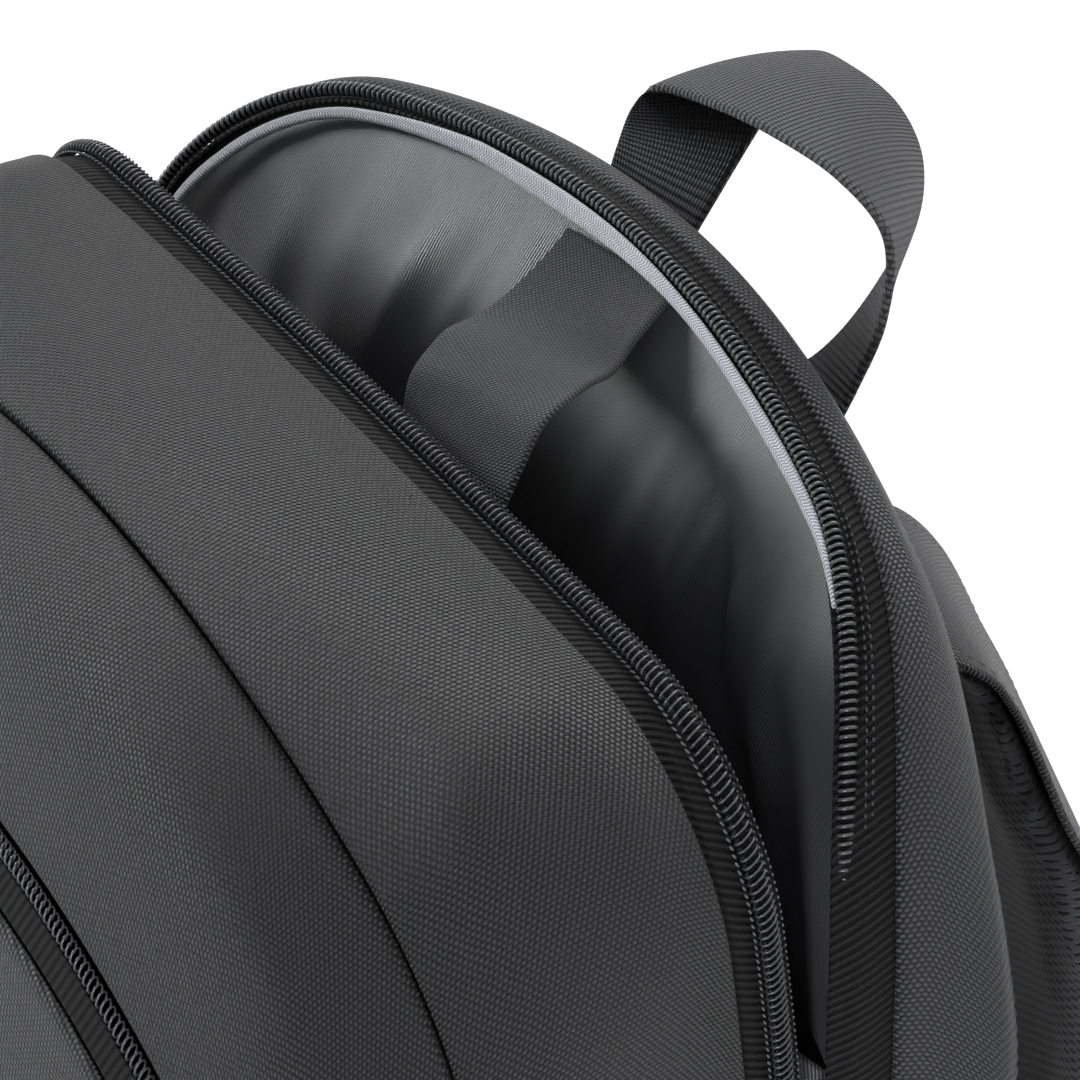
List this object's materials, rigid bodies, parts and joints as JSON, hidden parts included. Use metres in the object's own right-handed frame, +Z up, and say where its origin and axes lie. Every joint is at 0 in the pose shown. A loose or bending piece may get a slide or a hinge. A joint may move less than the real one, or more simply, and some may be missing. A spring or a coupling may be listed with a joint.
{
  "type": "rucksack",
  "caption": "Upright woven rucksack with an arched rear compartment unzipped and open, padded back, grab handle and padded shoulder straps.",
  "frame": {"origin": "floor under the middle of the whole bag, straps and handle included", "axes": "+Z up, +X the bag's right side as its front is faced from behind, -Y the front"},
  "size_m": [0.307, 0.2606, 0.4492],
  "materials": {
    "woven_nylon": "coarse woven nylon, dull",
    "base_cloth": "coarse woven nylon, dull",
    "zip_tape": "herringbone tape",
    "zip_coil": "glossy coil",
    "slider_metal": "black paint",
    "lining": "fine lining twill",
    "binding": "pale woven tape",
    "elastic": "grained elastic band",
    "webbing": "ribbed webbing",
    "air_mesh": "black spacer mesh",
    "buckle_plastic": "moulded"
  },
  "bodies": {
    "root": {"main_gusset": "woven_nylon", "front_panel": "woven_nylon", "front_pocket": "woven_nylon", "back_band": "woven_nylon", "shoulder_strap_left": "woven_nylon", "shoulder_strap_right": "woven_nylon", "base_panel": "base_cloth", "rear_zip_tape_front": "zip_tape", "rear_zip_tape_back": "zip_tape", "front_zip_tape": "zip_tape", "rear_zip_coil_front": "zip_coil", "rear_zip_coil_back": "zip_coil", "front_zip_coil": "zip_coil", "rear_zip_slider_left": "slider_metal", "rear_zip_slider_right": "slider_metal", "front_zip_slider": "slider_metal", "back_lining": "lining", "compartment_wall": "lining", "side_gusset_left": "lining", "side_gusset_right": "lining", "lining_binding": "binding", "retaining_strap": "elastic", "grab_handle": "webbing", "strap_webbing_left": "webbing", "strap_webbing_right": "webbing", "back_pad": "air_mesh", "shoulder_pad_left": "air_mesh", "shoulder_pad_right": "air_mesh", "ladder_lock_left": "buckle_plastic", "ladder_lock_right": "buckle_plastic"}
  },
  "joints": []
}
